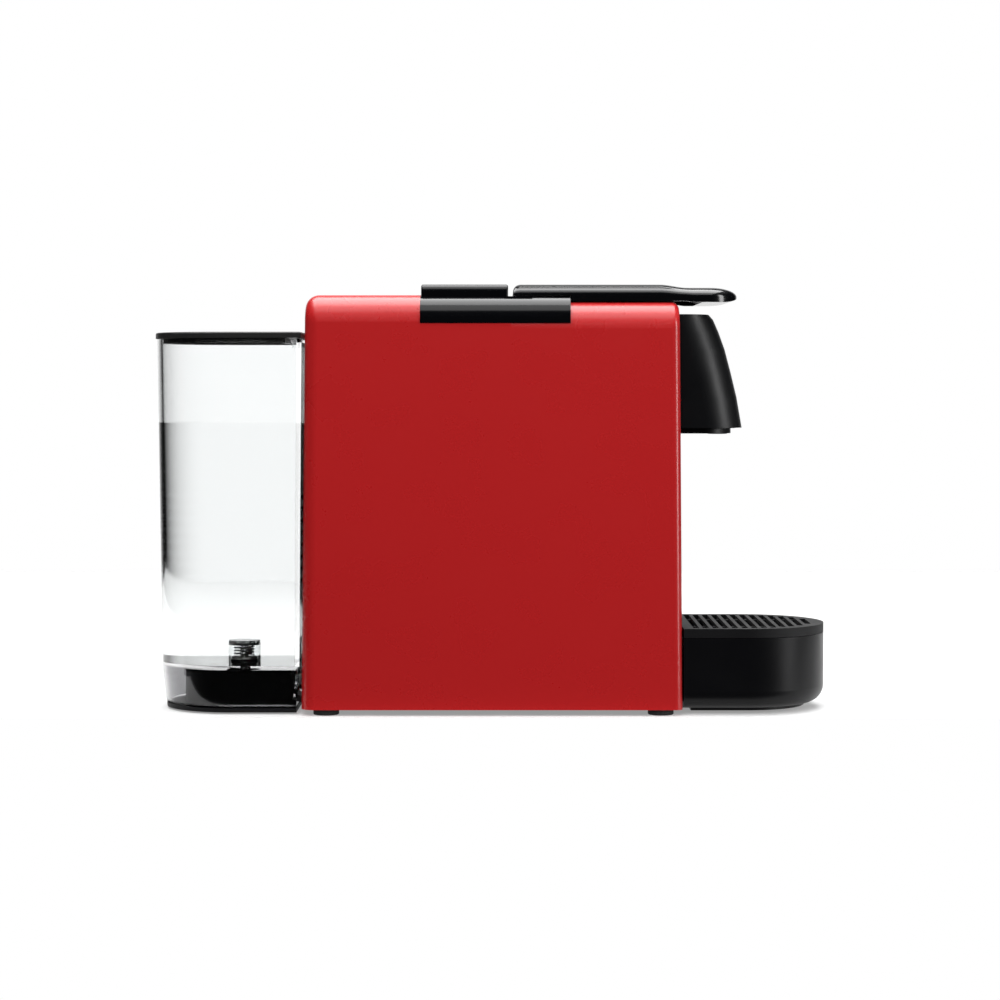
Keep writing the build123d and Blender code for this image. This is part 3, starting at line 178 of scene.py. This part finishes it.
def clear_plastic(name, tint, rough=0.03, painted_shade_tint=None, painted_shade_top=0.0):
    """Clear moulded plastic with faint flow waves and a few dulled patches, darkened below a height with a
    grey painted shade tint if asked.
    """
    g = Graph(name)
    colour = g.colour(shade(tint, 0.985), tint, g.noise(12.0, 3.0))
    # Painted shade: below the given height the colour turns grey, standing in for the darkness that the thick
    # curved wall and the dark surroundings give.
    if painted_shade_tint:
        height = g.add("ShaderNodeSeparateXYZ", {"Vector": g.place}).outputs["Z"]
        limits = {"Value": height, "From Min": painted_shade_top, "From Max": painted_shade_top - 0.001}
        step = g.add("ShaderNodeMapRange", limits)
        blend = g.add("ShaderNodeMix", {"Factor": step.outputs["Result"]}, data_type="RGBA")
        tints = [socket for socket in blend.inputs if socket.type == "RGBA"]
        g.links.new(colour, tints[0])
        tints[1].default_value = (*painted_shade_tint, 1)
        colour = [socket for socket in blend.outputs if socket.type == "RGBA"][0]
    return g.wire(
        Base_Color=colour,
        Roughness=g.spread(g.noise(70.0, 5.0), rough * 0.6, rough * 1.6),
        Normal=g.bump(g.noise(60.0, 2.0, (1.0, 1.0, 0.35)), 0.00003),
        Transmission_Weight=1.0, IOR=1.49,
    )


def still_water(name):
    g = Graph(name)
    return g.wire(
        Base_Color=g.colour((0.985, 0.99, 0.99), (1.0, 1.0, 1.0), g.noise(10.0, 2.0)),
        Roughness=g.spread(g.noise(30.0, 2.0), 0.0, 0.01), Normal=g.bump(g.noise(40.0, 1.0), 0.00001),
        Transmission_Weight=1.0, IOR=1.333,
    )


def circuit_board(name):
    g = Graph(name)
    cells = g.add("ShaderNodeTexVoronoi", {"Vector": g.place, "Scale": 260.0}, feature="DISTANCE_TO_EDGE")
    tracks = g.spread(cells.outputs["Distance"], 0.0, 1.0)
    return g.wire(
        Base_Color=g.colour((0.02, 0.15, 0.05), (0.01, 0.09, 0.03), tracks),
        Roughness=g.spread(g.noise(200.0), 0.3, 0.45), Normal=g.bump(tracks, 0.00004),
    )


def silicone(name, colour):
    g = Graph(name)
    return g.wire(
        Base_Color=g.colour(shade(colour, 0.9), colour, g.noise(60.0, 4.0)),
        Roughness=g.spread(g.noise(300.0), 0.35, 0.55), Subsurface_Weight=0.3, Subsurface_Scale=0.002,
        Normal=g.bump(g.noise(500.0), 0.00002),
    )


RED = (0.36, 0.0112, 0.0123)
BLACK = (0.0016, 0.0017, 0.0022)
FINISH = {
    "casing_red": gloss_plastic("casing_red", RED, rough=0.28, variation=0.015),
    "panel_black": gloss_plastic("panel_black", BLACK, rough=0.14, shine=0.3),
    "button_black": satin_plastic("button_black", (0.010, 0.010, 0.012), rough=0.35),
    "lever_black": gloss_plastic("lever_black", BLACK, rough=0.16),
    "head_black": gloss_plastic("head_black", BLACK, rough=0.42, shine=0.3),
    "tray_black": satin_plastic("tray_black", (0.0025, 0.0025, 0.003), rough=0.36, grain=0.00001, shine=0.2),
    "grid_black": satin_plastic("grid_black", (0.003, 0.003, 0.0035), rough=0.6, grain=0.00001, shine=0.3),
    "lid_dark": satin_plastic("lid_dark", (0.012, 0.012, 0.012), rough=0.4),
    # The tank's bottom skirt, below 22.6 mm, gets a grey painted shade tint in place of the darkness from
    # refraction.
    "tank_clear": clear_plastic(
        "tank_clear", (0.975, 0.985, 0.985), painted_shade_tint=(0.42, 0.42, 0.43), painted_shade_top=0.0226,
    ),
    "stand_black": satin_plastic("stand_black", (0.002, 0.002, 0.0025), rough=0.5, shine=0.2),
    "inner_grey": satin_plastic("inner_grey", (0.20, 0.20, 0.21), rough=0.55, grain=0.00005),
    "inner_black": satin_plastic("inner_black", (0.012, 0.012, 0.012), rough=0.5),
    "white_plastic": satin_plastic("white_plastic", (0.72, 0.72, 0.69), rough=0.45, variation=0.04),
    "rubber_black": rubber("rubber_black", (0.012, 0.012, 0.012)),
    "silicone_hose": silicone("silicone_hose", (0.62, 0.61, 0.58)),
    "seal_red": rubber("seal_red", (0.40, 0.08, 0.04), rough=0.6),
    "steel": brushed_metal("steel", (0.56, 0.56, 0.57)),
    "spring_steel": brushed_metal("spring_steel", (0.50, 0.50, 0.52), rough=0.25),
    "yoke_steel": brushed_metal("yoke_steel", (0.42, 0.43, 0.45), rough=0.4, stretch=(30.0, 1.0, 1.0)),
    "brass": brushed_metal("brass", (0.70, 0.50, 0.22), rough=0.28, stretch=(1.0, 1.0, 30.0)),
    "cast_aluminium": cast_metal("cast_aluminium", (0.62, 0.62, 0.62)),
    "coil_resin": satin_plastic("coil_resin", (0.03, 0.03, 0.035), rough=0.4, grain=0.00005),
    "board_green": circuit_board("board_green"),
}
FILTER = clear_plastic("filter_clear", (0.9, 0.92, 0.92), rough=0.25)
for node, obj in NODES.items():
    for slot in obj.material_slots:
        slot.link = "OBJECT"
        slot.material = FILTER if node == "tank_filter" else FINISH[SLOT_OF[node]]


# ---------------------------------------------------------------- piece helpers
def add_piece(name, mesh, material, body, crease=35.0):
    """Puts a mesh in the scene as one piece riding on a body, smooth but for edges sharper than crease."""
    piece = bpy.data.objects.new(name, mesh)
    bpy.context.scene.collection.objects.link(piece)
    mesh.materials.append(material)
    mesh.shade_smooth()
    mesh.set_sharp_from_angle(angle=math.radians(crease))
    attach(piece, body)
    return piece


def mesh_from(bm, name):
    bmesh.ops.recalc_face_normals(bm, faces=bm.faces)
    mesh = bpy.data.meshes.new(name)
    bm.to_mesh(mesh)
    bm.free()
    return mesh


# ---------------------------------------------------------------- water in the tank
TANK_WALL = 2.5 * MM
WATER_LEVEL = 140.7 * MM
FLOOR_TOP = 23.5 * MM
VALVE_X, VALVE_RADIUS, VALVE_TOP = -121.0 * MM, 7.9 * MM, 33.8 * MM
tank_low, tank_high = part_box("water_tank")


def tank_section(height, inset, steps=48):
    """Outline of the tank's inside at a height: straight front, half round rear."""
    draft = (tank_high[2] - height) * math.tan(math.radians(0.61))
    half = (tank_high[1] - tank_low[1]) / 2 - inset - draft
    rear_centre = tank_low[0] + (tank_high[1] - tank_low[1]) / 2
    front = tank_high[0] - inset - draft
    ring = [Vector((front, -half, height)), Vector((front, half, height))]
    for step in range(steps + 1):
        angle = math.pi / 2 + math.pi * step / steps
        ring.append(Vector((rear_centre + half * math.cos(angle), half * math.sin(angle), height)))
    return ring


def ring_of(bm, points):
    return [bm.verts.new(point) for point in points]


def skin(bm, rings):
    """Faces between rings of the same number of points."""
    for lower, upper in zip(rings, rings[1:]):
        for i in range(len(lower)):
            j = (i + 1) % len(lower)
            bm.faces.new((lower[i], lower[j], upper[j], upper[i]))


def circle_points(x, y, radius, height, steps):
    turn = 2 * math.pi / steps
    return [
        Vector((x + radius * math.cos(turn * i), y + radius * math.sin(turn * i), height))
        for i in range(steps)
    ]


def make_water():
    """Water round the valve housing, overlapping the walls slightly so that no air film shows."""
    bm = bmesh.new()
    floor = FLOOR_TOP - 0.1 * MM
    heights = (floor, 60 * MM, 100 * MM, WATER_LEVEL)
    sides = [ring_of(bm, tank_section(height, TANK_WALL - 0.1 * MM)) for height in heights]
    skin(bm, sides)
    bm.faces.new(sides[-1])
    valve = [
        ring_of(bm, circle_points(VALVE_X, 0, VALVE_RADIUS, height, 52)) for height in (floor, VALVE_TOP)
    ]
    skin(bm, valve)
    bm.faces.new(valve[-1])
    bm.edges.ensure_lookup_table()
    loops = [e for e in bm.edges if e.is_boundary]
    bmesh.ops.bridge_loops(bm, edges=loops)
    return add_piece("water", mesh_from(bm, "water"), still_water("still_water"), "tank")


make_water()


# ---------------------------------------------------------------- lever with its rounded nose
LEVER_REAR, LEVER_TIP = 11.0, 119.8
LEVER_HALF, NOSE_ROUND = 33.0, 17.0
SECTION_DROP, SECTION_REACH = 5.0, 1.9    # height of the rounded upper edge, and its width as a multiple


def ease(low, high, x, x_low, x_high):
    t = min(1.0, max(0.0, (x - x_low) / (x_high - x_low)))
    return low + (high - low) * t * t * (3 - 2 * t)


def round_end(x, start, end):
    """1 until start, then down a quarter circle to 0 at end."""
    t = min(1.0, max(0.0, (x - start) / (end - start)))
    return math.sqrt(max(0.0, 1 - t * t))


def lever_section(x, steps=9):
    """One section of the lever: outer skin left to right, then its underside back again."""
    mid = 201.4
    top = ease(207.5, 205.9, x, 82.0, 95.0)
    top = 204.0 + (top - 204.0) * round_end(LEVER_REAR + 3.5 - x, 0.0, 3.5) if x < LEVER_REAR + 3.5 else top
    top = mid + (top - mid) * round_end(x, 107.0, LEVER_TIP)
    low = 202.2 if x < 38.9 else ease(199.3, 198.8, x, 93.5, 98.0)
    low = mid - (mid - low) * round_end(x, 111.0, LEVER_TIP) if x > 60 else low
    corner = LEVER_TIP - NOSE_ROUND
    half = LEVER_HALF
    if x >= corner:
        half += math.sqrt(max(0.0, NOSE_ROUND**2 - (x - corner) ** 2)) - NOSE_ROUND
    drop = min(SECTION_DROP, (0.95 if x < 60 else 0.62) * (top - low))
    reach = drop * SECTION_REACH
    outer = [(-half, low)]
    for i in range(steps + 1):
        angle = math.pi - math.pi / 2 * i / steps
        outer.append((-half + reach + reach * math.cos(angle), top - drop + drop * math.sin(angle)))
    outer += [(-y, z) for y, z in reversed(outer)]
    hollow = LEVER_REAR + 1.6 <= x <= 102.0
    roof = ease(205.9, 204.3, x, 82.0, 95.0) if hollow else low
    roof = low + (roof - low) * round_end(x, 96.0, 102.0) if x > 90 else roof
    inner_half = min(LEVER_HALF - 2.0, half - 1.0)
    inner = [(inner_half, low), (inner_half, roof), (-inner_half, roof), (-inner_half, low)]
    return [Vector((x * MM, y * MM, z * MM)) for y, z in outer + inner]


def make_lever():
    stations = [LEVER_REAR + 3.5 * (1 - math.cos(math.pi / 2 * i / 6)) for i in range(7)]
    stations += [12.59, 12.6, 38.88, 38.9, 60.0, 82.0] + [82 + 0.8 * i for i in range(1, 32)]
    stations += [101.99, 102.0]
    stations += [107 + 12.8 * math.sin(math.pi / 2 * i / 22) for i in range(23)]
    bm = bmesh.new()
    rings = [ring_of(bm, lever_section(x)) for x in sorted(set(round(x, 3) for x in stations))]
    skin(bm, rings)
    bm.faces.new(rings[0])
    bm.faces.new(rings[-1])
    bmesh.ops.remove_doubles(bm, verts=bm.verts, dist=0.000001)
    bmesh.ops.dissolve_degenerate(bm, edges=bm.edges, dist=0.000001)
    piece = add_piece(
        "lever_shell", mesh_from(bm, "lever_shell"), FINISH["lever_black"], "lever", crease=40,
    )
    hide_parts("lever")


make_lever()


# ---------------------------------------------------------------- coil springs as true helices
WIRE_RADIUS = 0.45


def make_spring(name, place, coil_radius, height, turns, body, joint=None):
    """A wound spring standing on a place; when a joint is named it gets its own copy of the mesh."""
    x, y, low = place
    rise = height - 2 * WIRE_RADIUS
    steps, sides = 26 * turns, 8
    bm = bmesh.new()
    rings = []
    for step in range(steps + 1):
        angle = 2 * math.pi * turns * step / steps
        outward = Vector((math.cos(angle), math.sin(angle), 0))
        centre = Vector((x, y, low + WIRE_RADIUS + rise * step / steps)) + outward * coil_radius
        turn = [2 * math.pi * side / sides for side in range(sides)]
        rings.append(ring_of(bm, [
            (centre + outward * WIRE_RADIUS * math.cos(a) + Vector((0, 0, WIRE_RADIUS * math.sin(a)))) * MM
            for a in turn
        ]))
    skin(bm, rings)
    bm.faces.new(rings[0])
    bm.faces.new(rings[-1])
    spring = add_piece(name, mesh_from(bm, name), FINISH["spring_steel"], body, crease=60)
    if joint:
        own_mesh(spring)
    return spring


for side, drink in ((-1, "espresso"), (1, "lungo")):
    drink_spring = make_spring(
        f"{drink}_spring", (-17.0, 16.0 * side, 197.8), 2.9, 5.0, 5, "base", f"{drink}_button_slide")
    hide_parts("button_springs")
valve_spring = make_spring(
    "valve_spring_coil", (-121.0, 0.0, 26.1), 3.4, 5.2, 3, "tank", "tank_valve_slide")
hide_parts("tank_valve_spring")
piston_spring = make_spring(
    "piston_spring_coil", (-56.0, -6.0, 90.0), 3.8, 19.6, 8, "base", "pump_piston_slide")
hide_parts("pump_spring")
rebound_spring = make_spring("rebound_spring_coil", (-56.0, -6.0, 56.3), 3.8, 9.4, 4, "base")
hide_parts("pump_rebound_spring")


# ---------------------------------------------------------------- printed marks on the two buttons
def mark_ring(bm, x, y, low, high, inner, outer, steps=48):
    """A flat printed ring as a closed band."""
    band = [(inner, low), (outer, low), (outer, high), (inner, high)]
    rings = [ring_of(bm, circle_points(x, y, radius, height, steps)) for radius, height in band]
    skin(bm, rings + [rings[0]])


BUTTON_CENTRE_X = -17.0 * MM
BUTTON_CENTRE_Y = {"espresso_button": -16.0 * MM, "lungo_button": 16.0 * MM}


def make_marks():
    """A small ring for the short drink and a larger one for the long drink."""
    for node, radius in (("espresso_button", 2.6), ("lungo_button", 4.0)):
        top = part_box(node)[1][2]
        bm = bmesh.new()
        mark_ring(
            bm, BUTTON_CENTRE_X, BUTTON_CENTRE_Y[node], top - 0.02 * MM, top + 0.05 * MM,
            radius * MM, (radius + 0.5) * MM,
        )
        mesh = mesh_from(bm, f"{node}_mark")
        add_piece(f"{node}_mark", mesh, FINISH["white_plastic"], node)


make_marks()

# ---------------------------------------------------------------- floor, light, camera
WHITE = (0.47, 0.47, 0.47)


def studio_floor():
    bm = bmesh.new()
    corners = ((-0.6, -0.046), (0.6, -0.046), (0.6, 0.9), (-0.6, 0.9))
    bm.faces.new([bm.verts.new((x, y, 0.0)) for x, y in corners])
    mesh = mesh_from(bm, "floor")
    floor = bpy.data.objects.new("floor", mesh)
    bpy.context.scene.collection.objects.link(floor)
    g = Graph("floor_paper")
    g.wire(
        Base_Color=g.colour(shade(WHITE, 0.99), WHITE, g.noise(3.0)), Roughness=0.95,
        Normal=g.bump(g.noise(800.0), 0.00002), Specular_IOR_Level=0.1,
        Emission_Color=(1.0, 1.0, 1.0, 1.0), Emission_Strength=0.3,
    )
    mesh.materials.append(g.material)


def area_light(name, place, target, size, power, reflects=True):
    data = bpy.data.lights.new(name, "AREA")
    data.shape = "RECTANGLE"
    data.size, data.size_y = size
    data.energy = power
    light = bpy.data.objects.new(name, data)
    bpy.context.scene.collection.objects.link(light)
    light.location = place
    light.visible_glossy = reflects
    light.rotation_euler = (Vector(target) - Vector(place)).to_track_quat("-Z", "Y").to_euler()
    return light


def studio_world():
    """White to the camera; reflections see a white sweep behind, a bright ceiling and a dark front."""
    world = bpy.data.worlds.new("studio")
    bpy.context.scene.world = world
    world.use_nodes = True
    nodes, links = world.node_tree.nodes, world.node_tree.links
    out = nodes["World Output"]
    seen = nodes["Background"]
    seen.inputs["Color"].default_value = (1, 1, 1, 1)
    seen.inputs["Strength"].default_value = 1.0
    room = nodes.new("ShaderNodeBackground")
    place = nodes.new("ShaderNodeTexCoord")
    split = nodes.new("ShaderNodeSeparateXYZ")
    links.new(place.outputs["Generated"], split.inputs[0])
    back = nodes.new("ShaderNodeMapRange")
    back.inputs["From Min"].default_value, back.inputs["From Max"].default_value = 0.78, 0.992
    back.inputs["To Min"].default_value, back.inputs["To Max"].default_value = 0.01, 1.48
    links.new(split.outputs["Y"], back.inputs["Value"])
    above = nodes.new("ShaderNodeMapRange")
    above.inputs["From Min"].default_value, above.inputs["From Max"].default_value = 0.55, 0.9
    above.inputs["To Min"].default_value, above.inputs["To Max"].default_value = 0.0, 0.5
    links.new(split.outputs["Z"], above.inputs["Value"])
    total = nodes.new("ShaderNodeMath")
    total.operation = "MAXIMUM"
    links.new(back.outputs[0], total.inputs[0])
    links.new(above.outputs[0], total.inputs[1])
    links.new(total.outputs[0], room.inputs["Strength"])
    path = nodes.new("ShaderNodeLightPath")
    choose = nodes.new("ShaderNodeMixShader")
    links.new(path.outputs["Is Camera Ray"], choose.inputs[0])
    links.new(room.outputs[0], choose.inputs[1])
    links.new(seen.outputs[0], choose.inputs[2])
    links.new(choose.outputs[0], out.inputs["Surface"])


CAMERA_PLACE = (0.0047, -1.25, 0.159)
CAMERA_LENS = 91.044                    # mm, on a sensor 36 mm wide
CAMERA_TILT = math.radians(2.6036)      # downwards


def studio_camera():
    data = bpy.data.cameras.new("camera")
    data.sensor_width = 36.0
    data.lens = CAMERA_LENS
    data.clip_start, data.clip_end = 0.01, 20
    camera = bpy.data.objects.new("camera", data)
    bpy.context.scene.collection.objects.link(camera)
    camera.location = CAMERA_PLACE
    camera.rotation_euler = (math.pi / 2 - CAMERA_TILT, 0, 0)
    bpy.context.scene.camera = camera


studio_floor()
studio_world()
studio_camera()
area_light("overhead", (0.0, 0.25, 1.3), (0, 0.15, 0.1), (1.5, 1.15), 40)
area_light("camera_side", (-0.3, -1.9, 1.1), (0, 0, 0.1), (1.4, 1.0), 37, reflects=False)
area_light("overhead_front", (0.0, -0.68, 1.25), (0, -0.3, 0.1), (1.5, 0.7), 8)
area_light("front_strip", (1.1, -0.5, 0.35), (0.09, 0, 0.1), (0.3, 0.9), 8)
view = bpy.context.scene.view_settings
view.view_transform = "Standard"
view.look = "None"
